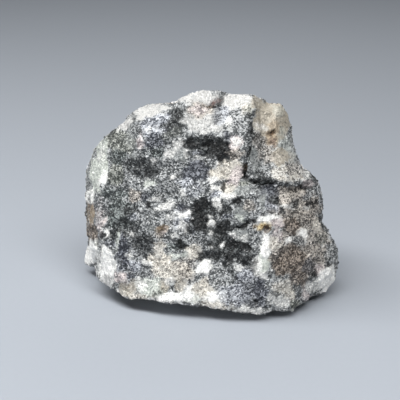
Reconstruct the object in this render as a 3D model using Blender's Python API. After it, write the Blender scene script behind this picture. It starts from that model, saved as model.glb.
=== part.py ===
"""Tugtupite specimen: one broken lump of rock, as a single solid, in metres with +Z up.

The lump is star-shaped: every corner can be seen from one point inside it, its heart. So the
corners are listed by where they lie on the stone, the hull of their directions from the heart
says which of them are neighbours, and each is then put in its own place. The facets between them
are cut finer, and the surface is roughened as a fracture is, apart from the flat foot that the
stone stands on. The origin is under the middle of the stone.
"""

import bmesh
import bpy
from mathutils import Vector, noise

MM = 0.001

# Driving sizes, in metres.
WIDTH = 0.052  # along X, from the small knob at the lower left to the right-hand spur
LONGEST_EDGE = 0.0034  # longer edges of the facets are cut in half
ROUGHNESS = 0.0004  # how far the humps of the broken surface stand in or out
HUMP_SPACING = 0.0045  # from one hump of the broken surface to the next

CUT_ROUNDS = 6  # times that the long edges are cut in half
HUMP_OCTAVES = 3  # sizes of hump, each half of the one before
HUMP_STEP = 2.0  # how many times closer together each smaller size is
HUMP_FADE = 1.0  # how much weaker each smaller size is
CALM_HEIGHT = 0.0016  # the humps grow to their full height over this height above the foot
FOOT_HEIGHT = 0.00002  # points lower than this belong to the flat foot

STONE_GREY = (0.30, 0.31, 0.30, 1.0)
STONE_ROUGHNESS = 0.75

# Corners of the lump in millimetres, as drawn: X to the right, Y to the back, Z up, foot at Z 0.
HEART = (0.0, 0.0, 19.0)
CREST = [  # the highest line of the stone, from the left ledge to the right shoulder
    (-19.8, -3.5, 32.6), (-19.0, -3.5, 34.1), (-17.0, -4.0, 35.6), (-15.9, -4.0, 37.0),
    (-14.2, -3.2, 38.2), (-11.5, -2.0, 38.9), (-7.6, -2.5, 39.2), (-6.7, -4.0, 40.5),
    (-4.2, -4.0, 41.6), (-2.0, -4.0, 42.0), (1.6, -4.0, 41.9), (3.6, -4.0, 41.2),
    (7.4, -4.5, 41.6), (9.4, -3.5, 40.4), (10.9, -2.5, 39.1), (13.2, -2.0, 38.7),
]
RIGHT_RIM = [  # from the shoulder down to the spur
    (14.7, -2.0, 36.9), (15.6, -2.0, 33.8), (16.1, -2.5, 30.0), (17.5, -4.0, 26.2),
    (19.8, -5.0, 24.9), (21.1, -5.0, 21.8), (22.1, -4.8, 17.0), (23.1, -4.5, 13.3),
    (25.2, -5.0, 9.0), (25.5, -5.5, 7.0), (24.9, -6.8, 3.6), (23.1, -8.0, 1.1),
]
FRONT_RIM = [  # the lower edge of the front, from the spur to the left
    (19.5, -11.0, 1.5), (17.4, -14.4, 1.6), (15.7, -16.0, 1.1), (11.3, -17.0, 2.0),
    (9.1, -18.0, 1.6), (2.8, -18.0, 2.4), (-3.9, -17.0, 3.0), (-10.8, -15.5, 3.3),
    (-16.7, -13.0, 2.6), (-19.4, -10.5, 3.4), (-21.8, -8.0, 3.6), (-23.5, -6.0, 4.4),
]
LEFT_RIM = [  # from the small knob up to the ledge
    (-24.3, 0.5, 3.0), (-26.5, 3.8, 2.2), (-26.4, 3.6, 4.2), (-25.8, 3.0, 7.4),
    (-25.6, 2.5, 14.0), (-25.3, 2.0, 21.0), (-24.8, 2.0, 25.0), (-23.5, 1.0, 28.8),
    (-22.0, -1.3, 30.6),
]
LEFT_RIDGE = [  # between the left flank and the front
    (-19.8, -5.2, 29.6), (-20.1, -6.6, 25.0), (-22.1, -6.3, 20.8), (-22.6, -6.6, 15.0),
    (-22.9, -6.6, 9.5),
]
FRONT = [  # where the front bends: under the white cap, and at the lower left
    (-14.2, -7.6, 37.0), (-10.5, -9.0, 38.0), (-7.2, -7.6, 39.2), (-4.8, -10.0, 35.2),
    (3.0, -10.2, 34.9), (4.8, -8.6, 37.8), (-18.9, -11.3, 12.0), (-15.0, -9.0, 31.5),
    (-1.5, -10.5, 31.6), (-12.5, -10.2, 26.0), (-3.5, -12.5, 24.5), (-14.5, -11.9, 17.5),
    (0.5, -14.4, 16.0), (-8.5, -13.4, 13.5),
]
RIGHT_RIDGE = [  # between the front and the right-hand face
    (7.7, -8.6, 39.3), (7.7, -9.9, 36.2), (7.6, -11.0, 33.0), (7.0, -11.8, 30.4),
    (6.6, -12.4, 28.0), (7.4, -13.2, 25.8), (8.5, -14.0, 23.7), (9.3, -15.4, 17.9),
    (10.1, -16.8, 10.7), (10.6, -17.6, 4.8),
]
GROOVE = [  # behind the right ridge, and on under the ledge to the right rim
    (8.9, -5.6, 38.9), (9.3, -6.7, 36.0), (9.5, -7.9, 33.2), (9.5, -9.0, 30.6),
    (9.0, -10.6, 27.9), (9.2, -12.2, 25.5), (11.4, -11.7, 24.6), (13.7, -11.2, 24.1),
    (16.2, -9.9, 24.0), (18.3, -7.9, 24.4),
]
SHOULDER = [  # the rounded shoulder beyond the groove
    (12.0, -5.6, 37.8), (11.8, -7.1, 35.6), (12.6, -8.0, 33.2), (12.7, -9.1, 31.0),
    (15.2, -5.2, 32.6), (13.4, -10.2, 28.9), (16.6, -6.8, 28.4),
]
RIGHT_FACE = [  # the ledge under the shoulder, and the face below it
    (9.9, -12.1, 26.6), (11.8, -12.6, 25.8), (13.6, -12.4, 25.3), (16.4, -10.8, 25.2),
    (18.4, -8.6, 25.5), (13.7, -13.7, 22.3), (17.8, -11.0, 19.2), (17.0, -13.3, 12.8),
    (21.2, -10.0, 10.4), (16.0, -15.3, 5.8), (20.2, -11.2, 4.6), (23.1, -8.8, 6.2),
]
TOP = [(-12.0, 4.5, 36.2), (-3.5, 5.5, 37.6), (5.5, 6.5, 37.0), (11.5, 4.0, 35.0)]
BACK = [
    (-19.0, 8.0, 27.5), (-9.0, 13.0, 30.5), (3.5, 14.5, 30.0), (13.0, 11.0, 27.8),
    (-24.2, 9.0, 20.0), (-22.5, 13.0, 11.0), (-24.4, 9.5, 3.6), (-13.0, 16.0, 20.5),
    (1.0, 18.0, 20.5), (12.0, 15.5, 17.0), (19.0, 6.5, 21.5), (21.8, 5.0, 12.0),
    (21.2, 4.0, 3.6), (-15.5, 17.0, 8.5), (-1.5, 18.0, 6.0), (12.5, 15.0, 6.5),
    (-17.5, 14.0, 1.6), (-5.0, 15.5, 1.2), (7.0, 14.5, 1.0), (15.5, 10.0, 1.6),
    (-21.5, -1.5, 2.6), (19.5, -3.0, 1.3),
]
FOOT = [  # the flat spot that the stone stands on
    (-12.5, -6.5, 0.0), (-5.0, -9.2, 0.0), (5.0, -11.4, 0.0), (12.0, -11.6, 0.0),
    (14.5, -4.0, 0.0), (12.0, 5.0, 0.0), (4.0, 9.5, 0.0), (-6.0, 10.0, 0.0),
    (-13.5, 6.0, 0.0), (-16.0, -1.0, 0.0),
]
CORNERS = (
    CREST + RIGHT_RIM + FRONT_RIM + LEFT_RIM + LEFT_RIDGE + FRONT + RIGHT_RIDGE
    + GROOVE + SHOULDER + RIGHT_FACE + TOP + BACK + FOOT
)


def clear_scene():
    for obj in list(bpy.data.objects):
        bpy.data.objects.remove(obj)


def faceted_lump():
    """The corners joined into one closed lump by the hull of their directions."""
    heart = Vector(HEART)
    lump = bmesh.new()
    for corner in CORNERS:
        lump.verts.new((Vector(corner) - heart).normalized())
    bmesh.ops.convex_hull(lump, input=lump.verts)
    for vert, corner in zip(lump.verts, CORNERS):
        vert.co = Vector(corner) * MM
    return lump


def cut_finer(lump):
    """Halve the long edges, round after round."""
    for _ in range(CUT_ROUNDS):
        long_edges = [edge for edge in lump.edges if edge.calc_length() > LONGEST_EDGE]
        bmesh.ops.subdivide_edges(lump, edges=long_edges, cuts=1, use_grid_fill=True)
        bmesh.ops.triangulate(lump, faces=lump.faces)


def above_foot(lump):
    return [vert for vert in lump.verts if vert.co.z > FOOT_HEIGHT]


def roughen(lump):
    """Move each point along its ray from the heart by a fractal noise, calm near the foot."""
    heart = Vector(HEART) * MM
    for vert in above_foot(lump):
        ray = (vert.co - heart).normalized()
        swell = noise.fractal(vert.co / HUMP_SPACING, HUMP_FADE, HUMP_STEP, HUMP_OCTAVES)
        growth = min(1.0, vert.co.z / CALM_HEIGHT)
        vert.co += ray * swell * ROUGHNESS * growth


def size_and_stand(lump):
    """Scale the lump to its width, and put the origin under its middle."""
    xs = [vert.co.x for vert in lump.verts]
    factor = WIDTH / (max(xs) - min(xs))
    bmesh.ops.scale(lump, vec=(factor, factor, factor), verts=lump.verts)
    low = Vector(min(vert.co[axis] for vert in lump.verts) for axis in range(3))
    high = Vector(max(vert.co[axis] for vert in lump.verts) for axis in range(3))
    middle = (low + high) / 2.0
    bmesh.ops.translate(lump, vec=(-middle.x, -middle.y, -low.z), verts=lump.verts)


def rock_material():
    rock = bpy.data.materials.new("rock")
    rock.use_nodes = True
    shader = rock.node_tree.nodes["Principled BSDF"]
    shader.inputs["Base Color"].default_value = STONE_GREY
    shader.inputs["Roughness"].default_value = STONE_ROUGHNESS
    return rock


def make_stone(collection):
    lump = faceted_lump()
    cut_finer(lump)
    roughen(lump)
    size_and_stand(lump)
    bmesh.ops.recalc_face_normals(lump, faces=lump.faces)
    mesh = bpy.data.meshes.new("stone")
    lump.to_mesh(mesh)
    lump.free()
    mesh.materials.append(rock_material())
    stone = bpy.data.objects.new("stone", mesh)
    collection.objects.link(stone)


def main():
    clear_scene()
    collection = bpy.data.collections.new("tugtupite_specimen")
    bpy.context.scene.collection.children.link(collection)
    make_stone(collection)


main()
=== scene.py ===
"""Looks of the tugtupite specimen: a broken lump of sugary rock, grown from its solid in the frame.

The stone is one closed skin, worked out with numpy on the grid of a cube blown up to a ball. It is
cast on the solid, given the relief of a fracture, and told at each point which minerals lie there.
Its grains are small blocks that stand in that skin, coloured one by one from the same minerals.
Sizes in the code are in millimetres unless a property has Blender's own unit of length.
"""

import itertools
import math

import bpy
import numpy as np
from bpy.props import FloatProperty, FloatVectorProperty, IntProperty, PointerProperty
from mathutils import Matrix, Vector


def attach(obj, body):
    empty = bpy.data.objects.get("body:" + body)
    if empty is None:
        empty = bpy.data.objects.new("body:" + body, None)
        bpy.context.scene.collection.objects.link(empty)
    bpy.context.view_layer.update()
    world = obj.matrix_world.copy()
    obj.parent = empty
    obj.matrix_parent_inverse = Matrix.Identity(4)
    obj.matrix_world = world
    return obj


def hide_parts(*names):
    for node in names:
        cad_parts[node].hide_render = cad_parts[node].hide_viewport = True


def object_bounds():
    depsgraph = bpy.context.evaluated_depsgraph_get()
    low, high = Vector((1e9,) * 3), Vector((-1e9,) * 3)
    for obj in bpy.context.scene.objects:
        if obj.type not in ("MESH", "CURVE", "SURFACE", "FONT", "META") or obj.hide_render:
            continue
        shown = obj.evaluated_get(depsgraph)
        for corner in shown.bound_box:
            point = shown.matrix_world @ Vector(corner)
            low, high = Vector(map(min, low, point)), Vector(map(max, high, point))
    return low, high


bl_info = {
    "name": "Tugtupite Specimen",
    "version": (1, 0, 0),
    "blender": (4, 5, 0),
    "location": "3D View > Sidebar > Specimen",
    "description": "Builds the skin, the grains and the stage of a mineral specimen",
    "category": "Object",
}

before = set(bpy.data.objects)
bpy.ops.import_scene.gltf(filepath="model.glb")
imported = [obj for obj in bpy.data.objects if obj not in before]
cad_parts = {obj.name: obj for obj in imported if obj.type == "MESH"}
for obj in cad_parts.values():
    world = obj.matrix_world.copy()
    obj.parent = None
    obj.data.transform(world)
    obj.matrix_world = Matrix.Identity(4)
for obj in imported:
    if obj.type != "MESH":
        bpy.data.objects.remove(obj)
FRAME_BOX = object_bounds()

NODE = "stone"
SKIN = "stone_skin"
BODY = "root"
MM = 0.001
HEART = np.array((0.5, 0.0, 19.0))  # the point inside the stone that every part of its skin faces
LOW = np.array(FRAME_BOX[0]) / MM
HIGH = np.array(FRAME_BOX[1]) / MM

# The eye: what it looks at, from how far, and how steeply down. The marks are drawn from there too.
AIM = np.array((-1.85, -4.0, 19.7))
EYE_DISTANCE = 218.0
EYE_PITCH = math.radians(22.0)
LENS = 100.0
SENSOR = 36.0


def linear(code):
    """Linear red, green and blue of an sRGB hex colour such as #c08040."""
    values = [int(code[place:place + 2], 16) / 255.0 for place in (1, 3, 5)]
    return tuple(v / 12.92 if v <= 0.04045 else ((v + 0.055) / 1.055) ** 2.4 for v in values)


# --- What lies where on the front ---

# Each mineral mixture: colour of its pale grains, colour of its dark grains, share of dark ones,
# how rough it broke (1 is usual), and how far it stands out (+) or lies back (-), in millimetres.
MINERALS = {
    # The next row is white painted brighter: painted light on whites that get less of the lamps' light,
    # low on the front and on the sides.
    "snow": ("#f6f5f1", "#dad9d5", 0.10, 0.4, 0.12),
    # The next row is white painted darker: painted shade on whites, mostly on top, where the light from
    # above falls hardest.
    "chalk": ("#b9b8b5", "#9b9c9b", 0.12, 0.4, 0.10),
    "white": ("#dcdbd7", "#9d9e9c", 0.17, 0.6, 0.10),
    "cream": ("#d0cbc1", "#8d887f", 0.22, 0.7, 0.05),
    "rose": ("#d0c6c3", "#918989", 0.22, 0.7, 0.05),
    "jade": ("#c1c5bd", "#959a94", 0.16, 0.4, 0.05),
    "beige": ("#a49d90", "#8a8376", 0.20, 0.3, 0.05),
    "sand": ("#b6afa6", "#484440", 0.44, 1.0, 0.0),
    "tan": ("#a4937c", "#7c6d5a", 0.24, 0.3, 0.0),
    "ochre": ("#cbb88a", "#917443", 0.20, 0.6, -0.05),
    "umber": ("#5c4936", "#241b15", 0.55, 0.8, -0.15),
    "brown": ("#998e83", "#3e3731", 0.56, 1.0, -0.05),
    "plum": ("#644f4a", "#332424", 0.40, 0.6, -0.05),
    "grey": ("#acaeae", "#404344", 0.55, 1.0, 0.0),
    "ash": ("#8f9290", "#6a6d6c", 0.30, 0.4, 0.0),
    "olive": ("#989a92", "#3e413c", 0.60, 1.0, 0.0),
    "teal": ("#878e8c", "#2e3332", 0.64, 1.0, -0.05),
    "blue": ("#c0c3c8", "#50535a", 0.38, 1.0, 0.0),
    "ink": ("#80838a", "#292c33", 0.66, 1.0, -0.05),
    "coal": ("#666969", "#111314", 0.74, 1.0, -0.12),
    "jet": ("#2c3031", "#040505", 0.82, 1.0, -0.30),
}
GROUND = "grey"  # the mixture between the marks

# Marks on the front, drawn from the eye on an upright sheet through the aim: how far right and up
# of it the mark's middle lies, its half width and half height, in millimetres, its mixture, how
# much of the ground it covers, and for a mark that isn't upright its turn to the left in degrees.
# Later marks lie over earlier.
LEFT_FLANK = [
    (-21.9, 7.5, 0.5, 4.2, "ash", 0.9, -10), (-19.8, 7.0, 1.6, 5.3, "jade", 1.0, -8),
    (-19.2, 4.4, 0.8, 1.7, "snow", 1.0, -5), (-19.6, 9.4, 0.5, 1.8, "white", 0.6, -8),
    (-21.6, 0.6, 0.9, 1.7, "snow", 0.8), (-21.6, -1.2, 0.9, 0.5, "umber", 0.7),
    (-21.5, -2.9, 0.9, 1.8, "tan", 0.9), (-22.2, -3.4, 0.3, 2.2, "umber", 0.7),
    (-21.6, -6.6, 0.9, 1.9, "brown", 0.9), (-21.7, -10.4, 1.5, 2.5, "snow", 1.0, -25),
    # The coal strip at 20.3 left is painted shade in the gap between the knob and the white corner.
    (-19.9, -4.0, 0.4, 3.6, "rose", 0.5), (-20.3, -9.0, 0.5, 3.0, "coal", 0.7),
]
UPPER_LEFT = [
    (-17.2, 13.0, 1.1, 1.1, "coal", 0.7, -35), (-15.6, 11.2, 2.6, 2.3, "olive", 0.8),
    (-13.8, 12.6, 0.9, 2.2, "ash", 0.5), (-14.4, 15.1, 0.6, 2.2, "chalk", 1.0, -35),
    (-12.9, 17.0, 0.8, 1.2, "coal", 0.8, -30), (-9.4, 17.7, 3.4, 1.2, "chalk", 1.0, 6),
    (-11.4, 16.7, 1.1, 1.3, "chalk", 1.0), (-9.0, 14.6, 3.0, 2.2, "blue", 0.9, 25),
    (-7.0, 16.4, 1.7, 0.8, "blue", 0.9, 25), (-10.4, 13.7, 1.0, 0.5, "white", 0.6, 10),
    (-8.5, 14.1, 0.8, 0.4, "white", 0.5, 10), (-4.2, 17.2, 1.5, 0.9, "coal", 0.9, 25),
    (-4.1, 15.2, 1.7, 1.4, "coal", 0.9), (-6.4, 14.8, 1.3, 0.7, "coal", 0.9, 35),
    (-8.6, 13.1, 1.5, 0.6, "blue", 0.6, 30), (-9.4, 11.3, 2.3, 1.2, "ink", 0.8, 10),
    (-5.5, 12.9, 2.0, 0.9, "olive", 0.5, 20), (-11.8, 11.2, 0.8, 1.6, "rose", 0.7, 10),
    (-16.3, 8.2, 1.8, 1.7, "teal", 0.8), (-8.8, 9.2, 1.7, 1.3, "teal", 0.8),
    (-13.2, 8.7, 1.0, 0.8, "ash", 0.8), (-11.6, 6.2, 3.3, 1.9, "coal", 0.7),
    (-14.0, 7.0, 0.4, 1.2, "coal", 0.5, -35), (-9.2, 5.2, 1.6, 1.2, "jet", 0.6, 20),
    (-9.6, 7.4, 0.4, 0.4, "white", 0.8), (-16.6, 4.8, 1.6, 2.3, "olive", 0.8),
    (-10.2, 3.0, 1.1, 0.7, "jade", 0.8), (-12.8, 3.1, 1.2, 0.7, "grey", 0.9),
    (-4.5, 10.8, 1.4, 0.75, "white", 1.0, 30), (-6.3, 9.1, 1.2, 0.8, "white", 1.0, 35),
    (-3.5, 8.8, 1.5, 1.0, "ash", 0.7, 20), (-2.6, 9.3, 0.5, 0.9, "white", 0.7),
    (-5.2, 4.5, 0.65, 0.5, "white", 1.0), (-4.9, 6.4, 2.0, 1.2, "grey", 0.8),
]
MIDDLE = [
    (-0.8, 5.6, 3.2, 1.7, "ink", 0.9), (-2.2, 3.3, 2.2, 1.0, "blue", 0.9),
    (-3.4, 1.1, 1.0, 0.7, "white", 0.8), (-1.3, 1.6, 1.6, 0.8, "blue", 0.5),
    (-1.2, 11.0, 2.0, 1.2, "jet", 1.0), (1.2, 12.0, 1.9, 0.6, "coal", 0.8),
    (3.5, 10.4, 3.0, 1.6, "jet", 1.0), (4.3, 8.5, 1.9, 1.3, "jet", 1.0, -15),
    (0.7, 9.4, 2.6, 1.1, "coal", 0.9), (-0.2, 9.1, 0.9, 0.3, "blue", 0.7),
    (0.2, 8.0, 0.9, 0.3, "white", 0.5), (6.2, 6.9, 2.0, 1.0, "cream", 1.0),
    (3.1, 6.6, 0.5, 0.9, "white", 0.8, -10), (4.9, 5.4, 2.8, 1.5, "cream", 1.0),
    (7.2, 5.0, 1.4, 1.3, "rose", 0.8), (2.7, 4.0, 0.9, 0.7, "white", 0.9),
    (3.2, 2.1, 1.4, 1.2, "white", 1.0), (5.7, 2.3, 1.5, 1.0, "cream", 1.0),
    (6.8, 3.6, 1.2, 0.8, "rose", 0.8), (4.5, 2.2, 0.25, 0.6, "jet", 0.9),
    (8.4, 3.2, 0.9, 0.7, "olive", 0.9), (8.3, 1.6, 1.8, 0.9, "ash", 0.9),
]
WHITE_CAP = [
    (1.0, 15.6, 4.4, 2.6, "chalk", 0.75), (0.0, 20.2, 4.1, 1.5, "chalk", 1.0),
    (6.4, 19.4, 2.9, 1.8, "chalk", 1.0), (8.9, 19.7, 1.5, 1.4, "chalk", 1.0),
    (0.1, 17.6, 2.3, 1.4, "sand", 0.8), (-0.2, 17.7, 1.4, 0.8, "rose", 0.7),
    (4.5, 16.7, 1.7, 1.7, "blue", 0.8), (5.9, 15.4, 0.8, 1.7, "white", 1.0, 10),
    (1.8, 18.6, 1.6, 0.7, "umber", 0.9, 10), (4.1, 19.6, 0.6, 1.3, "jet", 0.8),
    (3.1, 18.2, 1.2, 0.6, "coal", 0.9, -10), (2.9, 19.5, 0.8, 0.55, "plum", 1.0, 25),
    (3.4, 16.6, 0.7, 1.5, "coal", 0.5), (7.5, 17.4, 0.8, 0.7, "grey", 0.7),
    (7.6, 15.2, 1.1, 1.5, "grey", 0.9), (8.7, 18.0, 1.0, 0.9, "cream", 0.8),
    (9.6, 17.6, 0.8, 1.4, "olive", 0.7, -10), (7.6, 13.1, 1.2, 0.9, "grey", 0.8),
    (7.2, 11.1, 1.5, 1.1, "rose", 1.0), (7.3, 11.3, 0.9, 0.6, "white", 0.9),
    (7.1, 9.0, 1.5, 1.0, "sand", 0.8),
]
GROOVE = [
    (9.4, 13.4, 1.0, 3.0, "grey", 0.9), (10.3, 14.6, 0.7, 2.4, "jet", 0.7),
    (10.7, 12.0, 0.5, 2.9, "jet", 0.9), (9.6, 11.2, 0.6, 1.6, "coal", 0.5),
    (10.1, 9.6, 0.3, 1.2, "jet", 0.9, -15), (9.5, 7.8, 0.35, 1.5, "jet", 0.9, -12),
    (8.9, 6.0, 0.5, 1.2, "umber", 0.8, -5), (8.9, 4.8, 0.5, 0.6, "jet", 1.0),
    (10.9, 8.0, 0.9, 3.2, "ash", 0.8, 4), (11.8, 11.5, 0.9, 3.2, "sand", 0.5),
    (11.7, 15.0, 0.8, 1.4, "jade", 0.5), (12.4, 6.2, 0.8, 2.2, "grey", 0.5, 12),
]
SHOULDER = [
    (14.6, 15.5, 3.4, 4.2, "beige", 1.0), (13.6, 18.2, 3.0, 1.0, "beige", 0.7),
    (11.4, 19.0, 1.6, 1.4, "beige", 0.8, -30), (15.4, 17.6, 1.4, 1.2, "jade", 0.3),
    (12.5, 14.3, 0.7, 1.1, "white", 0.6, 20), (16.2, 13.6, 0.9, 1.0, "jade", 0.4),
    (14.6, 14.2, 1.3, 1.4, "tan", 0.5), (14.0, 12.0, 1.4, 1.5, "tan", 0.8),
    (13.9, 12.9, 0.9, 0.55, "umber", 1.0, 35), (14.3, 11.4, 0.5, 0.6, "plum", 0.6),
    (16.8, 10.8, 1.4, 1.9, "jade", 0.4), (15.9, 8.6, 2.6, 1.6, "beige", 0.9),
    (13.2, 8.6, 1.0, 1.8, "sand", 0.7), (18.0, 9.5, 0.6, 3.0, "ash", 0.7, 8),
    (15.3, 5.6, 1.9, 1.5, "cream", 0.6, -10), (18.8, 5.6, 2.0, 1.4, "sand", 0.6, -25),
    (18.2, 4.4, 2.6, 0.6, "cream", 0.7), (21.0, 5.2, 0.8, 0.5, "white", 0.7, -35),
    (22.4, 4.4, 0.6, 1.0, "coal", 0.9, 20), (21.4, 3.4, 1.0, 0.7, "rose", 0.8),
    # The coal and jet marks from 2 to 4 mm up, along the ledge, are partly its dark mineral and partly
    # painted shade under the ledge.
    (12.8, 3.3, 2.8, 1.2, "coal", 1.0, -14), (11.6, 3.6, 1.4, 0.9, "jet", 0.8, -20),
    (16.6, 3.3, 3.0, 0.7, "coal", 0.4), (16.4, 2.2, 3.6, 0.5, "jet", 0.9, 2),
    (20.6, 2.3, 1.1, 0.3, "jet", 0.9, 15), (12.0, 5.0, 0.8, 0.5, "coal", 0.6),
]
BLACK_CLUSTER = [
    (1.6, -1.6, 2.3, 1.5, "coal", 1.0), (0.6, -0.8, 1.4, 1.2, "jet", 0.8),
    (0.8, -4.0, 2.6, 2.8, "coal", 1.0), (0.4, -4.4, 1.9, 1.7, "jet", 0.8),
    (-0.6, -2.2, 1.3, 1.4, "jet", 0.8), (4.7, -1.9, 1.4, 1.5, "coal", 1.0),
    (7.4, -0.3, 0.9, 0.5, "jet", 0.9, 15), (3.3, -6.4, 2.2, 1.4, "coal", 1.0),
    (4.6, -5.8, 1.7, 1.4, "jet", 0.9), (5.2, -3.5, 0.8, 0.7, "ink", 0.7),
    (2.9, 0.8, 1.1, 0.8, "blue", 1.0), (3.4, -0.9, 0.6, 0.9, "white", 0.9),
    (5.7, 0.5, 1.4, 0.7, "white", 1.0), (8.2, -2.5, 1.5, 1.6, "ash", 1.0, -20),
    (7.8, -3.7, 1.2, 0.7, "jade", 0.8), (9.8, -1.2, 0.9, 1.3, "sand", 0.7),
    (8.3, -5.1, 2.4, 0.5, "jet", 1.0, 27), (8.0, -7.2, 1.7, 1.3, "ash", 0.9),
    (8.4, -7.6, 0.95, 0.8, "white", 0.8), (6.5, -7.3, 0.7, 0.6, "snow", 0.8),
    (5.0, -9.4, 3.6, 2.4, "coal", 1.0), (6.8, -9.3, 1.8, 1.2, "jet", 0.9),
    (9.0, -9.6, 1.4, 0.9, "jet", 1.0, 20), (8.2, -11.2, 2.2, 1.4, "coal", 1.0),
    (2.0, -11.0, 1.7, 0.8, "jet", 0.8), (5.3, -12.5, 1.5, 0.9, "jet", 0.7, -15),
    (4.5, -9.1, 0.7, 0.7, "snow", 1.0), (2.3, -9.6, 0.5, 0.45, "white", 0.7),
    (1.9, -3.3, 0.6, 0.35, "white", 0.9), (2.1, -4.9, 0.7, 0.6, "snow", 0.9),
    (2.1, -7.0, 0.35, 0.45, "white", 0.9), (8.8, -10.7, 0.5, 0.6, "grey", 0.6),
]
LEFT_FACE = [
    (-17.2, 0.8, 2.4, 1.5, "teal", 0.8), (-16.0, -3.0, 3.2, 2.8, "teal", 0.9),
    (-14.2, -5.2, 2.8, 2.0, "coal", 0.7), (-18.6, -1.6, 1.1, 1.3, "grey", 0.8),
    (-19.2, -4.6, 0.6, 0.8, "rose", 0.9), (-18.6, -6.4, 0.9, 1.0, "white", 0.7),
    (-19.5, -7.2, 0.5, 0.8, "jet", 0.8), (-16.9, -7.0, 1.3, 1.2, "coal", 0.9),
    (-12.9, 0.6, 1.6, 1.3, "sand", 0.8), (-10.8, 0.4, 1.4, 0.8, "ink", 0.8),
    (-9.9, -1.2, 0.8, 0.6, "jet", 0.9), (-8.8, 0.2, 0.9, 0.6, "white", 0.6),
    (-15.5, -2.5, 1.2, 0.8, "ash", 0.4), (-13.0, -3.2, 1.0, 0.6, "blue", 0.6),
    (-9.6, -2.9, 2.3, 1.2, "grey", 0.9), (-6.8, -1.4, 2.1, 0.7, "white", 0.9, 8),
    (-3.8, -3.8, 1.9, 2.1, "blue", 0.8), (-3.4, -2.6, 1.3, 1.0, "snow", 1.0),
    (-3.3, -5.0, 1.0, 1.3, "white", 0.9), (-5.4, -3.3, 0.8, 0.8, "white", 0.7),
    (-1.6, -5.0, 0.3, 1.5, "blue", 0.7, 8), (-2.3, -5.6, 0.8, 1.1, "jet", 0.8),
    (-7.6, -5.9, 1.3, 0.9, "tan", 0.9), (-7.2, -6.3, 0.7, 0.5, "rose", 0.7, 10),
    (-8.0, -5.6, 0.7, 0.3, "umber", 0.8, 10), (-8.3, -7.0, 1.0, 0.6, "sand", 0.7),
    (-9.9, -5.3, 0.9, 0.6, "ash", 0.7), (-13.6, -6.9, 0.6, 0.5, "white", 0.8),
    (-5.2, -7.3, 0.8, 0.5, "white", 0.9), (-4.0, -8.7, 1.6, 1.0, "jet", 1.0),
    (-5.8, -9.0, 1.4, 1.0, "teal", 0.7), (-4.8, -10.8, 1.6, 0.7, "jade", 0.7),
    (-11.2, -8.4, 2.5, 1.7, "coal", 0.8), (-10.6, -10.8, 1.4, 1.2, "coal", 0.7),
    (-18.0, -8.4, 1.6, 0.8, "ink", 0.6), (-19.2, -10.0, 1.0, 0.9, "grey", 0.9),
    (-14.9, -10.4, 1.2, 3.2, "ink", 1.0), (-12.9, -11.6, 1.3, 1.4, "grey", 0.9),
    (-14.2, -10.6, 0.5, 0.7, "white", 0.8), (-12.6, -13.2, 1.5, 1.0, "blue", 0.9),
    (-13.5, -15.2, 1.2, 0.6, "ink", 0.9), (-10.8, -13.0, 0.9, 0.9, "grey", 0.7),
]
LOWER_LEFT = [
    (-18.2, -13.2, 1.6, 3.9, "snow", 1.0, 6), (-19.9, -13.6, 0.6, 2.2, "white", 0.9),
    (-16.4, -8.9, 0.35, 1.6, "jade", 0.8, -10), (-16.4, -12.2, 0.4, 2.2, "blue", 0.8),
    (-15.6, -15.3, 1.4, 1.0, "rose", 0.9), (-8.3, -11.8, 2.4, 1.3, "cream", 1.0),
    (-10.4, -12.3, 1.0, 0.6, "white", 0.9, -30), (-8.1, -9.5, 1.0, 1.5, "cream", 0.7),
    (-5.5, -13.9, 4.0, 1.9, "cream", 0.9), (-3.2, -12.6, 2.2, 1.4, "sand", 0.5),
    (-1.2, -10.2, 1.7, 1.4, "cream", 0.8), (-2.7, -14.7, 1.9, 1.1, "sand", 0.7, -10),
    (-9.6, -17.2, 3.4, 2.2, "jade", 0.9), (-7.2, -16.8, 0.9, 1.5, "beige", 0.9),
    (-14.2, -17.3, 1.8, 1.4, "beige", 0.8), (-11.8, -16.8, 1.0, 1.8, "white", 0.8),
    (-12.0, -18.9, 3.6, 0.6, "cream", 0.8, -10), (-6.0, -19.2, 2.7, 1.0, "snow", 1.0),
    (-1.0, -18.2, 2.8, 1.9, "snow", 0.8), (-3.9, -17.0, 1.4, 1.2, "beige", 0.7),
    (-1.0, -19.7, 1.5, 0.6, "jade", 0.7), (-1.6, -7.8, 1.2, 1.0, "grey", 0.9),
    (0.9, -13.1, 1.5, 1.4, "snow", 0.9), (1.0, -17.6, 2.4, 1.9, "cream", 1.0),
    (2.8, -19.2, 2.4, 1.2, "snow", 0.9), (3.2, -20.7, 3.4, 0.6, "cream", 0.7, -12),
]
LOWER_MIDDLE = [
    (4.5, -15.5, 2.8, 2.4, "grey", 0.9), (9.5, -17.0, 2.8, 2.6, "ink", 0.6),
    (12.0, -18.0, 1.4, 3.2, "ink", 0.9), (6.5, -19.0, 3.0, 1.9, "blue", 0.7),
    (7.8, -13.5, 0.8, 0.5, "white", 0.7), (8.8, -14.6, 1.3, 1.0, "blue", 0.9),
    (6.6, -14.7, 0.7, 0.8, "coal", 0.8), (9.0, -20.4, 2.2, 1.0, "ink", 0.6, -6),
    (10.0, -21.7, 2.8, 0.5, "white", 0.9, -8), (10.9, -20.0, 0.5, 0.4, "jet", 0.9),
    (11.0, -8.5, 0.9, 2.6, "grey", 0.9), (12.4, -12.2, 1.5, 2.3, "jade", 1.0, -8),
    (12.9, -9.0, 1.0, 2.6, "snow", 0.9), (11.1, -12.8, 0.8, 1.6, "snow", 0.8),
    (12.6, -14.9, 0.9, 1.0, "white", 0.9), (10.6, -13.4, 0.3, 1.8, "coal", 0.5, 12),
]
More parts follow.
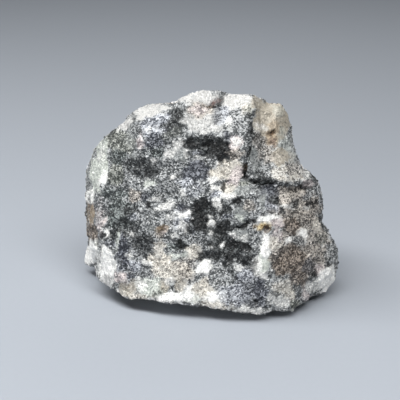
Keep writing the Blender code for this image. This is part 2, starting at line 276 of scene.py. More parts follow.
RIGHT_FACE = [
    (18.6, -1.0, 5.4, 3.6, "sand", 0.9), (20.5, -8.5, 5.0, 6.5, "sand", 0.8, 10),
    (13.6, 0.6, 2.1, 2.1, "ink", 0.8), (14.3, -1.3, 1.3, 0.9, "blue", 0.7),
    (12.3, 0.0, 0.8, 1.6, "ash", 0.9), (14.7, -2.6, 0.8, 0.4, "ink", 0.8),
    (15.8, -0.5, 0.6, 1.4, "jet", 0.9, 20), (16.2, -2.0, 0.4, 0.7, "coal", 0.9),
    (21.6, 1.1, 1.3, 1.0, "grey", 0.8), (18.7, -0.8, 1.3, 0.7, "coal", 0.7),
    (22.1, -0.8, 1.3, 0.6, "jet", 0.8), (17.4, -1.2, 1.3, 0.3, "white", 0.8, -15),
    (20.9, -1.6, 0.5, 0.4, "white", 0.9), (13.6, -4.0, 2.4, 1.1, "snow", 0.9),
    (15.2, -4.6, 1.4, 1.0, "rose", 1.0), (12.3, -5.3, 1.3, 0.7, "ochre", 0.8, 5),
    (12.2, -4.8, 1.1, 0.3, "cream", 0.8), (12.9, -5.9, 0.45, 0.4, "umber", 1.0, -30),
    (10.8, -5.2, 0.35, 0.3, "umber", 0.8), (15.2, -6.9, 1.0, 1.2, "rose", 0.6),
    (18.0, -5.0, 1.6, 1.6, "brown", 0.9), (23.1, -4.9, 1.3, 1.6, "cream", 0.7),
    (24.4, -4.7, 0.5, 1.0, "jet", 1.0), (20.6, -6.5, 1.3, 0.8, "snow", 0.9),
    (24.0, -7.6, 1.2, 1.5, "olive", 0.4), (18.8, -8.3, 2.2, 0.9, "grey", 0.7),
    (17.2, -8.4, 0.7, 0.6, "snow", 0.8), (17.0, -11.6, 3.2, 3.0, "brown", 0.7),
    (16.0, -13.0, 1.9, 1.8, "brown", 1.0), (18.9, -11.2, 2.0, 1.6, "brown", 0.9),
    (19.4, -14.0, 2.0, 2.2, "brown", 0.8), (22.5, -10.5, 1.9, 1.8, "sand", 0.8),
    (25.5, -10.5, 1.0, 2.2, "grey", 0.7, 10), (21.4, -13.0, 1.0, 1.6, "ink", 0.5),
    (22.7, -14.5, 0.4, 0.5, "jet", 0.9), (25.3, -12.6, 0.4, 0.5, "jet", 0.9),
    (23.8, -13.8, 1.1, 1.0, "rose", 0.9), (25.2, -15.6, 1.8, 2.5, "snow", 0.9, -20),
    (24.2, -16.4, 1.2, 1.2, "snow", 0.7, -20), (22.6, -17.2, 1.6, 1.1, "white", 0.8, 10),
    (20.8, -18.6, 1.0, 1.2, "rose", 0.7), (16.5, -17.0, 2.3, 1.3, "cream", 0.6),
    (15.6, -19.8, 2.2, 1.4, "white", 0.7), (18.0, -18.6, 1.4, 1.3, "cream", 0.8),
    (18.7, -20.8, 1.2, 0.9, "olive", 0.9), (14.8, -18.5, 0.5, 0.4, "coal", 0.8),
    (19.4, -16.0, 1.6, 0.8, "brown", 0.8),
]
OVER_ALL = [
    (5.4, 12.4, 0.8, 1.0, "ink", 0.8, 15), (-13.4, -1.6, 1.5, 1.1, "coal", 0.8, 10),
    (-3.8, -1.7, 1.2, 0.9, "ink", 0.9, -20), (0.6, -11.2, 1.3, 1.1, "coal", 0.9, 25),
    (-18.0, -15.8, 0.9, 1.0, "chalk", 0.9), (-6.3, -15.8, 1.3, 0.7, "white", 0.8, 10),
    (-8.6, -18.2, 1.3, 0.7, "olive", 0.9, 15), (14.8, -8.5, 1.1, 1.0, "cream", 0.8),
    # The olive mark at 20.4 left darkens the same gap between the knob and the white corner: painted
    # shade.
    (14.9, 0.6, 1.0, 0.6, "coal", 0.8, -10), (-20.4, -8.4, 0.5, 1.1, "olive", 0.9),
]
MARKS = (
    LEFT_FLANK + UPPER_LEFT + MIDDLE + WHITE_CAP + GROOVE + SHOULDER + LEFT_FACE + BLACK_CLUSTER
    + LOWER_LEFT + LOWER_MIDDLE + RIGHT_FACE + OVER_ALL
)

# Cracks and steps on the front, on the same sheet: points along the line, how deep it is cut and
# half its width, in millimetres.
FURROWS = (
    (((10.9, 17.0), (10.7, 12.0), (10.0, 9.0), (9.3, 6.5), (8.8, 4.6)), 0.9, 0.45),
    (((9.2, 4.2), (11.0, 3.6), (14.0, 2.9), (18.0, 2.3), (21.3, 2.6)), 1.1, 0.80),
    (((11.0, -11.4), (10.8, -13.5), (10.4, -15.5)), 0.5, 0.35),
    (((6.3, -6.2), (8.4, -5.1), (10.4, -4.1)), 0.6, 0.40),
    (((-18.9, 9.0), (-18.6, 4.0), (-18.9, -2.0), (-19.0, -7.0)), 0.4, 0.50),
    (((-16.6, -7.5), (-17.0, -10.5), (-16.9, -14.0)), 0.5, 0.40),
    (((24.4, -3.9), (24.4, -5.5)), 0.7, 0.35),
    (((-20.8, -5.5), (-20.7, -9.5), (-20.9, -13.0)), 0.8, 0.40),
    (((13.4, 12.6), (14.3, 13.2)), 0.6, 0.40),
    (((12.5, -6.1), (13.3, -5.8)), 0.5, 0.35),
)

NAMES = list(MINERALS)
# One row a mixture, and which of its columns hold what.
RECIPES = np.array([
    linear(pale) + linear(dark) + tuple(rest) for pale, dark, *rest in MINERALS.values()
])
PALE = slice(0, 3)
DARK = slice(3, 6)
SHARE = 6
BREAK = 7
RISE = 8
# What the skin keeps of the recipe at each point, by the name of the attribute.
KEPT = {"pale_tint": PALE, "dark_tint": DARK, "dark_share": SHARE, "rough_break": BREAK}

# What lies on the sides away from the front, from the darkest ground to the palest, which is twice
# as wide. The stains lie over it where their own noise is above the edge.
ZONES = (
    "jet", "coal", "teal", "ink", "grey", "olive", "sand", "blue", "jade", "cream", "white", "white"
)
ZONE_SPREAD = 0.62
STAINS = ("brown", "tan", "rose")
STAIN_EDGE = (0.74, 0.84)

# Layers of noise: the size of the bumps in millimetres, how strong they are, and the seed.
ZONE_LAYERS = ((10.0, 0.9, 21), (4.0, 0.75, 22), (1.4, 0.35, 23))
STAIN_LAYERS = ((3.2, 1.0, 31), (0.9, 0.3, 41))
FRAY_LAYERS = ((2.2, 0.55, 51), (0.9, 0.40, 52), (0.45, 0.18, 53))
TURN_LAYERS = ((1.2, 0.10, 81),)
SWAY_LAYERS = ((1.8, 0.35, 84),)
GRAIN_LAYERS = ((1.3, 0.30, 201), (0.6, 0.22, 202))

# How the edges of the marks run, in millimetres.
FRAY = 0.7  # how much of the frayed noise moves a mark's edge in or out
SOFT_EDGE = 0.30  # half the width over which a mark fades
MARK_REACH = 1.2  # how far past its half size a mark is worked out

# Where the front ends: how the skin faces the eye, from 1 straight at it to -1 straight away.
FRONT_EDGE = (-0.30, -0.15)
BEHIND_FROM = -3.0  # Y in millimetres
BEHIND_RATE = 0.15

# The break, with sizes in millimetres and heights as shares of the largest crest's or chip's.
CRESTS = (6.0, 3.0, 1.5)
CREST_CENTRE = 0.35
CHIPS = (1.7, 0.8)
CHIP_STEP = 0.5
CHIP_LEAN = 1.6
CHIP_BEVEL = 0.25
CHIP_CENTRE = 0.2
FINER = 0.55  # height of each finer layer against the one before
FOOT_CALM = (0.15, 1.6)  # heights between which the break fades in above the foot
RAY_START = 5.0  # from the heart, well inside the solid


# --- Noise ---

def dice(cells, seed):
    """A fixed draw from 0 to 1 for each whole-numbered cell: its coordinates times large primes,
    added up and stirred by shifts and multiplications."""
    mixed = cells @ np.array((73856093, 19349663, 83492791)) + seed * 15485863
    mixed = (mixed & 0xFFFFFFFF).astype(np.uint32)
    for factor in (0x7FEB352D, 0x846CA68B):
        mixed ^= mixed >> np.uint32(16)
        mixed *= np.uint32(factor)
    mixed ^= mixed >> np.uint32(15)
    return mixed / 2.0 ** 32


SEED_SHIFT = 0.371  # in bumps
NOISE_GAIN = 1.6
CREST_FOLD = 2.2


def noise(points, size, seed):
    """Smooth noise from about -1 to 1 with bumps of the given size: each corner of a cell leans in a
    direction of its own, and a point blends the eight leans by 6t^5 - 15t^4 + 10t^3 of its place."""
    spots = points / size + seed * SEED_SHIFT
    cells = np.floor(spots).astype(np.int64)
    inside = spots - cells
    ease = inside ** 3 * (inside * (inside * 6.0 - 15.0) + 10.0)
    total = np.zeros(len(points))
    for corner in itertools.product((0, 1), repeat=3):
        step = np.array(corner)
        lean = np.stack([dice(cells + step, seed * 3 + axis) for axis in range(3)], -1) * 2.0 - 1.0
        weight = np.prod(np.where(step, ease, 1.0 - ease), axis=1)
        total += weight * np.sum(lean * (inside - step), axis=1)
    return total * NOISE_GAIN


def layered(points, layers, shift=0):
    """Layers of noise added up, each times its strength, with the same shift of all their seeds."""
    return sum(noise(points, size, seed + shift) * strength for size, strength, seed in layers)


def ridges(points, size, seed):
    """Noise folded into sharp crests: 1 minus 2.2 times its size without sign."""
    return 1.0 - CREST_FOLD * np.abs(noise(points, size, seed))


def chips(points, size, seed):
    """The chip each point belongs to, as broken rock parts into them: the nearest of one random
    middle in each cell. Gives the chip's draw, how far the point lies from the middle along a lean
    of the chip's own, and how much nearer that middle is than the next, in cells."""
    spots = points / size
    cells = np.floor(spots).astype(np.int64)
    nearest = np.full(len(points), np.inf)
    second = nearest.copy()
    draw = np.zeros(len(points))
    tilt = np.zeros(len(points))
    for corner in itertools.product((-1, 0, 1), repeat=3):
        cell = cells + np.array(corner)
        offset = cell + np.stack([dice(cell, seed + axis) for axis in range(3)], -1) - spots
        away = np.sqrt(np.sum(offset ** 2, axis=1))
        closer = away < nearest
        second = np.where(closer, nearest, np.minimum(second, away))
        nearest = np.where(closer, away, nearest)
        draws = dice(cell, seed + 3)
        lean = np.stack([dice(cell, seed + 4 + axis) for axis in range(3)], -1) - 0.5
        draw = np.where(closer, draws, draw)
        tilt = np.where(closer, np.sum(offset * lean, axis=1), tilt)
    return draw, tilt, second - nearest


def ramp(values, low, high):
    """0 up to low, 1 from high, and 3t^2 - 2t^3 between."""
    t = np.clip((values - low) / (high - low), 0.0, 1.0)
    return t * t * (3.0 - 2.0 * t)


# --- Which minerals lie where ---

EYE_AHEAD = np.array((0.0, math.cos(EYE_PITCH), -math.sin(EYE_PITCH)))
EYE_UP = np.array((0.0, math.sin(EYE_PITCH), math.cos(EYE_PITCH)))
EYE = AIM - EYE_AHEAD * EYE_DISTANCE


def on_sheet(points):
    """Where the line from the eye to each point crosses the upright sheet: right and up of the aim."""
    way = points - EYE
    depth = way @ EYE_AHEAD
    return way[:, 0] / depth * EYE_DISTANCE, way @ EYE_UP / depth * EYE_DISTANCE


def hidden_mixtures(points):
    """Shares of the mixtures away from the front: one zone at each point, stepped through by
    layered noise, and a stain over it where the noise of that stain peaks."""
    level = layered(points, ZONE_LAYERS) * ZONE_SPREAD + 0.5
    place = np.clip(level * len(ZONES), 0, len(ZONES) - 1).astype(int)
    shares = np.zeros((len(points), len(NAMES)))
    shares[np.arange(len(points)), np.array([NAMES.index(zone) for zone in ZONES])[place]] = 1.0
    for number, stain in enumerate(STAINS):
        cover = ramp(layered(points, STAIN_LAYERS, number), *STAIN_EDGE)[:, None]
        shares *= 1.0 - cover
        shares[:, NAMES.index(stain)] += cover[:, 0]
    return shares


def front_mixtures(points):
    """Shares of the mixtures on the front: the ground, and over it each mark in turn. A mark covers
    the points whose distance from its middle, in half sizes, is under about 1, after layered noise
    has moved the points right and up and frayed its edge."""
    right, up = on_sheet(points)
    right = right + layered(points, FRAY_LAYERS)
    up = up + layered(points, FRAY_LAYERS, 10)
    fray = layered(points, FRAY_LAYERS, 20) * FRAY
    shares = np.zeros((len(points), len(NAMES)))
    shares[:, NAMES.index(GROUND)] = 1.0
    for middle_right, middle_up, half_width, half_height, mineral, cover, *turn in MARKS:
        reach = max(half_width, half_height) + MARK_REACH
        near = np.flatnonzero(
            (np.abs(right - middle_right) < reach) & (np.abs(up - middle_up) < reach)
        )
        x, y = right[near] - middle_right, up[near] - middle_up
        angle = math.radians(turn[0]) if turn else 0.0
        cos, sin = math.cos(angle), math.sin(angle)
        away = np.hypot((x * cos + y * sin) / half_width, (y * cos - x * sin) / half_height)
        edge = (1.0 - away) * min(half_width, half_height) + fray[near]
        part = ramp(edge, -SOFT_EDGE, SOFT_EDGE)[:, None] * cover
        shares[near] *= 1.0 - part
        shares[near, NAMES.index(mineral)] += part[:, 0]
    return shares


def fronting(points, normals):
    """1 where the skin faces the eye and 0 on the other sides, with a ragged change between. A part
    that faces up counts as turned away the more the further back it lies, so that no mark is drawn
    out over the top."""
    facing = np.sum(normals * (EYE - points), axis=1) / np.linalg.norm(EYE - points, axis=1)
    behind = np.maximum(points[:, 1] - BEHIND_FROM, 0.0) * np.maximum(normals[:, 2], 0.0)
    return ramp(facing - behind * BEHIND_RATE + layered(points, TURN_LAYERS), *FRONT_EDGE)


def mixtures(points, front):
    """Recipe of the mixture at each point: the front's marks in front, the zones elsewhere."""
    front = front[:, None]
    return (front_mixtures(points) * front + hidden_mixtures(points) * (1.0 - front)) @ RECIPES


def furrowed(points):
    """How deep the cracks and steps cut, in millimetres: the depth of a line times e to the minus
    square of the distance from it in half widths, and the deepest where lines meet."""
    right, up = on_sheet(points)
    right = right + layered(points, SWAY_LAYERS)
    up = up + layered(points, SWAY_LAYERS, 1)
    cut = np.zeros(len(points))
    for line, depth, half_width in FURROWS:
        for (start_right, start_up), (end_right, end_up) in zip(line, line[1:]):
            run = np.array((end_right - start_right, end_up - start_up))
            part = ((right - start_right) * run[0] + (up - start_up) * run[1]) / (run @ run)
            part = np.clip(part, 0.0, 1.0)
            away = np.hypot(right - start_right - part * run[0], up - start_up - part * run[1])
            cut = np.maximum(cut, depth * np.exp(-((away / half_width) ** 2)))
    return cut


# --- Meshes ---

def mesh_piece(name, points, faces):
    """A new piece at the origin with the points given in millimetres."""
    mesh = bpy.data.meshes.new(name)
    mesh.from_pydata((points * MM).tolist(), [], faces.tolist())
    mesh.update()
    piece = bpy.data.objects.new(name, mesh)
    bpy.context.scene.collection.objects.link(piece)
    return piece


def read(items, name, width, kind=np.float32):
    """Rows of numbers, as many as the width says, one row for each of a mesh's items."""
    values = np.empty(len(items) * width, dtype=kind)
    items.foreach_get(name, values)
    return values.reshape(-1, width)


def keep_on(piece, name, values):
    """Stores a number or a colour at each point of a piece, as an attribute for its material."""
    mesh = piece.data
    if values.ndim == 1:
        mesh.attributes.new(name, "FLOAT", "POINT").data.foreach_set("value", values)
        return
    colours = np.ones((len(values), 4))
    colours[:, :3] = values
    mesh.attributes.new(name, "FLOAT_COLOR", "POINT").data.foreach_set("color", colours.ravel())


SHEET_MARGIN = 0.01  # of a cube face's width, left free round it on the map


def ball_grid(count):
    """Points and outward quads of a cube's grid: a face's point is (1, tan s, tan t) for s and t
    from -45 to 45 degrees, which keeps the quads even on a ball, and shared edges are joined. The
    map lays the cube's six faces out in three columns and two rows, with a margin round each."""
    steps = np.tan(np.linspace(-math.pi / 4.0, math.pi / 4.0, count + 1))
    s, t = np.meshgrid(steps, steps, indexing="ij")
    one = np.ones_like(s)
    sheets = ((one, s, t), (-one, t, s), (t, one, s), (s, -one, t), (s, t, one), (t, s, -one))
    points = np.concatenate([np.stack(sheet, -1).reshape(-1, 3) for sheet in sheets])
    corner = np.arange((count + 1) ** 2).reshape(count + 1, count + 1)
    quad = np.stack((corner[:-1, :-1], corner[1:, :-1], corner[1:, 1:], corner[:-1, 1:]), -1)
    quad = quad.reshape(-1, 4)
    quads = np.concatenate([quad + number * corner.size for number in range(len(sheets))])
    keys = np.round(points * 1e6).astype(np.int64)
    _, first, place = np.unique(keys, axis=0, return_index=True, return_inverse=True)
    spread = SHEET_MARGIN + (1.0 - 2.0 * SHEET_MARGIN) * np.arange(count + 1) / count
    across, along = np.meshgrid(spread, spread, indexing="ij")
    squares = [
        np.stack(((number % 3 + across) / 3.0, (number // 3 + along) / 2.0), -1).reshape(-1, 2)
        for number in range(len(sheets))
    ]
    return points[first], place.reshape(-1)[quads], np.concatenate(squares)[quads]


def cast(points, quads, node):
    """Where rays from the heart towards the grid's points first meet the solid. The grid is
    stretched by the stone's half sizes, so its quads come out even there."""
    ways = points * (HIGH - LOW) / 2.0
    ways /= np.linalg.norm(ways, axis=1)[:, None]
    probe = mesh_piece("probe", HEART + ways * RAY_START, quads)
    wrap = probe.modifiers.new("cast", "SHRINKWRAP")
    wrap.wrap_method = "PROJECT"
    wrap.use_positive_direction = True
    wrap.use_negative_direction = False
    wrap.target = node
    bpy.context.view_layer.update()
    shape = probe.evaluated_get(bpy.context.evaluated_depsgraph_get()).data
    landed = read(shape.vertices, "co", 3).astype(float) / MM
    mesh = probe.data
    bpy.data.objects.remove(probe)
    bpy.data.meshes.remove(mesh)
    return landed


def gathered(values, owners, count):
    """Sum of the rows of values that belong to each owner."""
    return np.stack([np.bincount(owners, values[:, axis], count) for axis in range(3)], -1)


def eased(points, quads, rounds):
    """Each round moves every point halfway to the middle of the points it shares an edge with."""
    starts = quads.ravel()
    ends = np.roll(quads, -1, axis=1).ravel()
    owners = np.concatenate((starts, ends))
    others = np.concatenate((ends, starts))
    count = np.bincount(owners)[:, None]
    for _ in range(rounds):
        points = (points + gathered(points[others], owners, len(points)) / count) / 2.0
    return points


def normals_of(points, quads):
    """Outward unit normal at each point: the cross products of its quads' diagonals, added up."""
    a, b, c, d = (points[quads[:, corner]] for corner in range(4))
    across = np.repeat(np.cross(c - a, d - b), 4, axis=0)
    total = gathered(across, quads.ravel(), len(points))
    return total / np.linalg.norm(total, axis=1)[:, None]


# --- Materials ---

def put(tree, kind, inputs, **settings):
    """Adds a shader node with its settings, sets each input to a value or links it, and gives the
    node's outputs."""
    made = tree.nodes.new("ShaderNode" + kind)
    for name, value in settings.items():
        setattr(made, name, value)
    for name, value in inputs.items():
        if isinstance(value, bpy.types.NodeSocket):
            tree.links.new(value, made.inputs[name])
        else:
            made.inputs[name].default_value = value
    return made.outputs


def blank(name):
    """A new material with an empty tree."""
    material = bpy.data.materials.new(name)
    material.use_nodes = True
    material.node_tree.nodes.clear()
    return material, material.node_tree


def facet_normal(tree, draws, lean):
    """The skin's own normal leaned by up to half of lean along each axis, one way for each grain."""
    centred = put(tree, "VectorMath", {0: draws, 1: (0.5, 0.5, 0.5)}, operation="SUBTRACT")[0]
    turned = put(tree, "VectorMath", {0: centred, "Scale": lean}, operation="SCALE")[0]
    normal = put(tree, "NewGeometry", {})["Normal"]
    summed = put(tree, "VectorMath", {0: normal, 1: turned}, operation="ADD")[0]
    return put(tree, "VectorMath", {0: summed}, operation="NORMALIZE")[0]


GLINT = 0.35  # specular level of dusty broken faces, against 0.5 of clean ones


def broken_rock(settings):
    """Sodalite-syenite rock, broken: interlocked grains of white feldspar and tugtupite and of
    black amphibole. Each grain is pale or dark by its own draw, which gives the salt and pepper,
    and cleaves along its own plane, which gives the broken skin its sparkle."""
    material, tree = blank("broken_syenite")
    place = put(tree, "TexCoord", {})["Object"]
    fine = put(tree, "TexVoronoi", {"Vector": place, "Scale": 1.0 / settings.grain})
    coarse = put(tree, "TexVoronoi", {"Vector": place, "Scale": 1.0 / settings.clot})
    seam = put(
        tree, "TexVoronoi", {"Vector": place, "Scale": 1.0 / settings.grain}, feature="DISTANCE_TO_EDGE"
    )["Distance"]
    draws = put(tree, "SeparateColor", {"Color": fine["Color"]})
    clot = put(tree, "SeparateColor", {"Color": coarse["Color"]})["Red"]
    share = put(tree, "Attribute", {}, attribute_name="dark_share")["Fac"]
    pale = put(tree, "Attribute", {}, attribute_name="pale_tint")["Color"]
    dark = put(tree, "Attribute", {}, attribute_name="dark_tint")["Color"]
    swing = put(tree, "MapRange", {
        "Value": clot, "To Min": -settings.clotting, "To Max": settings.clotting,
    })["Result"]
    cloud = put(tree, "TexNoise", {
        "Vector": place, "Scale": 1.0 / settings.clot, "Detail": 2.0, "Roughness": 0.5,
    })["Fac"]
    drift = put(tree, "MapRange", {
        "Value": cloud, "From Min": 0.3, "From Max": 0.7,
        "To Min": -settings.drift, "To Max": settings.drift,
    }, clamp=False)["Result"]
    pull = put(tree, "Math", {0: swing, 1: drift}, operation="ADD")[0]
    limit = put(tree, "Math", {0: share, 1: pull}, operation="ADD")[0]
    over = put(tree, "Math", {0: limit, 1: draws["Red"]}, operation="SUBTRACT")[0]
    darkness = put(tree, "MapRange", {
        "Value": over, "From Min": -settings.blend, "From Max": settings.blend,
    }, interpolation_type="SMOOTHSTEP")["Result"]
    tint = put(tree, "Mix", {"Factor": darkness, "A": pale, "B": dark}, data_type="RGBA")["Result"]
    bright = put(tree, "MapRange", {"Value": draws["Green"], "To Min": 0.80, "To Max": 1.16})
    # Painted shade: each grain is darkened towards its seams, down to 0.8 at the edge, where shade
    # falls between grains.
    painted_seam_shade = put(tree, "MapRange", {"Value": seam, "From Max": 0.10, "To Min": 0.80})
    value = put(tree, "Math", {0: bright["Result"], 1: painted_seam_shade["Result"]}, operation="MULTIPLY")[0]
    gloss = put(tree, "MapRange", {"Value": draws["Blue"], "To Min": 0.28, "To Max": 0.75})["Result"]
    shader = put(tree, "BsdfPrincipled", {
        "Base Color": put(tree, "HueSaturation", {"Color": tint, "Value": value})["Color"],
        "Roughness": gloss, "IOR": 1.53, "Specular IOR Level": GLINT,
        "Normal": facet_normal(tree, fine["Color"], settings.cleavage),
    })
    put(tree, "OutputMaterial", {"Surface": shader["BSDF"]})
    return material


# What each piece of grains is: the material's name, and its index of refraction.
GRAIN_MINERALS = {
    # Albite, a white feldspar, cleaved: sugary white faces, some of them glassy.
    "white_grains": ("cleaved_albite", 1.53),
    # Analcime and sodalite, broken: grey, greasier, where pale and dark grains meet.
    "grey_grains": ("broken_sodalite", 1.48),
    # Arfvedsonite, a black amphibole, cleaved: black blades with a bright glint.
    "black_grains": ("cleaved_arfvedsonite", 1.69),
    # Feldspar stained by iron, weathered: beige and ochre, with the dullest faces.
    "stained_grains": ("weathered_iron_stain", 1.55),
}


def single_mineral(name, ior):
    """Grains of one mineral. Each has one tint and one gloss of its own, kept on the grain, so that
    neighbours catch the light differently, as cleavage faces do."""
    material, tree = blank(name)
    tint = put(tree, "Attribute", {}, attribute_name="tint")["Color"]
    gloss = put(tree, "Attribute", {}, attribute_name="gloss")["Fac"]
    shader = put(tree, "BsdfPrincipled", {
        "Base Color": tint, "Roughness": gloss, "IOR": ior, "Specular IOR Level": GLINT,
    })
    put(tree, "OutputMaterial", {"Surface": shader["BSDF"]})
    return material


def matt_board(colour):
    """Painted board, matt: an even pale sheet with the faintest tooth, 1.1 mm from bump to bump."""
    material, tree = blank("matt_board")
    place = put(tree, "TexCoord", {})["Object"]
    tooth = put(tree, "TexNoise", {"Vector": place, "Scale": 900.0, "Detail": 3.0})["Fac"]
    value = put(tree, "MapRange", {"Value": tooth, "To Min": 0.985, "To Max": 1.015})["Result"]
    tint = put(tree, "HueSaturation", {"Color": (*colour, 1.0), "Value": value})["Color"]
    shader = put(tree, "BsdfPrincipled", {"Base Color": tint, "Roughness": 0.75})
    put(tree, "OutputMaterial", {"Surface": shader["BSDF"]})
    return material


# --- The stone's skin ---

def fracture(points, settings):
    """How far broken rock stands out at each point, in millimetres: layers of sharp crests, and
    layers of chips, each at a height of its own, with a leaning top and a bevel along its edge."""
    height = np.zeros(len(points))
    for number, size in enumerate(CRESTS):
        crest = ridges(points, size, 91 + number) - CREST_CENTRE
        height += crest * settings.hackle / MM * FINER ** number
    for number, size in enumerate(CHIPS):
        draw, tilt, gap = chips(points, size, 101 + 10 * number)
        step = (draw - 0.5) * CHIP_STEP + tilt * CHIP_LEAN + np.minimum(gap, CHIP_BEVEL) - CHIP_CENTRE
        height += step * settings.chip / MM * FINER ** number
    return height


def make_skin(settings):
    """The closed skin that stands for the solid: cast, eased over the solid's facets, and broken."""
    points, quads, spots = ball_grid(settings.quads)
    points = eased(cast(points, quads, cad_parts[NODE]), quads, settings.easing)
    normals = normals_of(points, quads)
    front = fronting(points, normals)
    recipe = mixtures(points, front)
    off_foot = ramp(points[:, 2], *FOOT_CALM)
    height = fracture(points, settings) * recipe[:, BREAK] + recipe[:, RISE] - furrowed(points) * front
    height -= settings.sink / MM
    points = points + normals * (height * off_foot)[:, None]
    points[:, 2] = np.maximum(points[:, 2], 0.0)
    skin = mesh_piece(SKIN, points, quads)
    skin.data.uv_layers.new(name="OFBake").data.foreach_set("uv", spots.ravel())
    for name, part in KEPT.items():
        keep_on(skin, name, recipe[:, part])
    return skin


def skin_read(skin):
    """The skin's points in millimetres, its quads and the recipe kept at each point."""
    mesh = skin.data
    recipe = np.zeros((len(mesh.vertices), RECIPES.shape[1]))
    for name, part in KEPT.items():
        items = mesh.attributes[name].data
        if isinstance(part, slice):
            recipe[:, part] = read(items, "color", 4)[:, :3]
        else:
            recipe[:, part] = read(items, "value", 1)[:, 0]
    quads = read(mesh.loops, "vertex_index", 1, np.int32).reshape(-1, 4)
    return read(mesh.vertices, "co", 3).astype(float) / MM, quads, recipe


# --- The grains that stand in the skin ---

BLOCK = np.array(list(itertools.product((-0.5, 0.5), repeat=3)))
BLOCK_QUADS = np.array((
    (0, 1, 3, 2), (4, 6, 7, 5), (0, 4, 5, 1), (2, 3, 7, 6), (0, 2, 6, 4), (1, 5, 7, 3),
))
MAP_SQUARE = np.array(((0.2, 0.2), (0.8, 0.2), (0.8, 0.8), (0.2, 0.8)))

# Lowest and highest of what is drawn for each grain.
STRETCH = (0.65, 1.25)  # its sides, in sizes
SHIFT = (-0.16, 0.16)  # its corners, in sides
SEAT = (-0.50, -0.20)  # its middle, in sizes out from the skin
BRIGHT = (0.80, 1.18)  # its tint, against its mineral's
GLOSS = (0.22, 0.70)  # the roughness of its faces
CALM = (0.3, 1.1)  # how rough the break has to be for the grain to stand in it

SMALL_ONES = 1.8  # the power that makes small grains more common than large ones
CALM_SIZE = 0.45  # the size of grains where the rock broke smoothly, against rough places
# A grain belongs to the first of these pieces whose limit it passes, or else is white.
STAINED_FROM = 0.22  # how much less blue its pale tint is than red
BLACK_FROM = 0.65  # how dark it is, from 0 to 1
GREY_FROM = 0.3


def turns(draws):
    """Even random turns as matrices, from four normal draws each taken as a unit quaternion."""
    w, x, y, z = (draws / np.linalg.norm(draws, axis=1)[:, None]).T
    rows = (
        (1 - 2 * (y * y + z * z), 2 * (x * y - z * w), 2 * (x * z + y * w)),
        (2 * (x * y + z * w), 1 - 2 * (x * x + z * z), 2 * (y * z - x * w)),
        (2 * (x * z - y * w), 2 * (y * z + x * w), 1 - 2 * (x * x + y * y)),
    )
    return np.stack([np.stack(row, -1) for row in rows], 1)


def scattered(points, quads, count, random):
    """Places spread evenly over the skin's area: a quad drawn by its area, and a point in it by two
    draws along its sides. Gives the places, their outward normals and the quads."""
    a, b, c, d = (points[quads[:, corner]] for corner in range(4))
    across = np.cross(c - a, d - b)
    area = np.linalg.norm(across, axis=1)
    drawn = np.searchsorted(np.cumsum(area) / area.sum(), random.random(count))
    s, t = random.random((2, count, 1))
    places = (a[drawn] * (1 - s) + b[drawn] * s) * (1 - t) + (d[drawn] * (1 - s) + c[drawn] * s) * t
    return places, across[drawn] / area[drawn, None], drawn


def grain_blocks(places, normals, sizes, random):
    """Small blocks, each a cube with its corners shifted, stretched, turned its own way and sunk to
    about half its size."""
    count = len(places)
    stretch = sizes[:, None] * random.uniform(*STRETCH, (count, 3))
    corners = (BLOCK + random.uniform(*SHIFT, (count, len(BLOCK), 3))) * stretch[:, None, :]
    corners = corners @ turns(random.normal(size=(count, 4)))
    seats = places + normals * (sizes * random.uniform(*SEAT, count))[:, None]
    quads = BLOCK_QUADS[None] + np.arange(count)[:, None, None] * len(BLOCK)
    return (corners + seats[:, None, :]).reshape(-1, 3), quads.reshape(-1, 4)


def make_grains(name, places, normals, sizes, tints, gloss, random):
    """One piece of joined grains, each with one colour and one gloss. Its map gives each grain a
    square of its own."""
    points, quads = grain_blocks(places, normals, sizes, random)
    points[:, 2] = np.maximum(points[:, 2], 0.0)
    piece = mesh_piece(name, points, quads)
    keep_on(piece, "tint", np.repeat(tints, len(BLOCK), axis=0))
    keep_on(piece, "gloss", np.repeat(gloss, len(BLOCK)))
    side = math.ceil(math.sqrt(len(places)))
    column, row = np.arange(len(places)) % side, np.arange(len(places)) // side
    spots = (np.stack((column, row), -1)[:, None, None] + MAP_SQUARE[None, None]) / side
    spots = np.broadcast_to(spots, (len(places), len(BLOCK_QUADS), 4, 2))
    piece.data.uv_layers.new(name="OFBake").data.foreach_set("uv", spots.ravel())
    return piece


def sorted_grains(points, quads, recipe, settings):
    """Draws every grain of the stone and sorts them by what they are. A grain is as dark as its
    draw stands under the dark share of its place, which clouds of noise move up and down."""
    random = np.random.default_rng(settings.seed)
    places, normals, drawn = scattered(points, quads, settings.count, random)
    local = recipe[quads[drawn]].mean(axis=1)
    cloud = layered(places, GRAIN_LAYERS)
    over = local[:, SHARE] + cloud - random.random(settings.count)
    darkness = ramp(over, -settings.blend, settings.blend)
    pale, dark = local[:, PALE], local[:, DARK]
    # The tints take the mixtures' colours as they are, including the whites painted brighter and darker
    # as painted light and shade.
    tints = pale + (dark - pale) * darkness[:, None]
    tints *= random.uniform(*BRIGHT, (settings.count, 1))
    stain = (pale[:, 0] - pale[:, 2]) / pale[:, 0]
    low, high = settings.smallest / MM, settings.largest / MM
    sizes = low * (high / low) ** (random.random(settings.count) ** SMALL_ONES)
    sizes = sizes * (CALM_SIZE + (1.0 - CALM_SIZE) * local[:, BREAK])
    gloss = random.uniform(*GLOSS, settings.count)
    stands = random.uniform(*CALM, settings.count) < local[:, BREAK]
    kind = np.select((stain > STAINED_FROM, darkness > BLACK_FROM, darkness > GREY_FROM), (3, 2, 1))
    for number, name in enumerate(GRAIN_MINERALS):
        chosen = np.flatnonzero((kind == number) & stands)[:settings.most]
        picked = (values[chosen] for values in (places, normals, sizes, tints, gloss))
        yield make_grains(name, *picked, random)


# --- The add-on ---

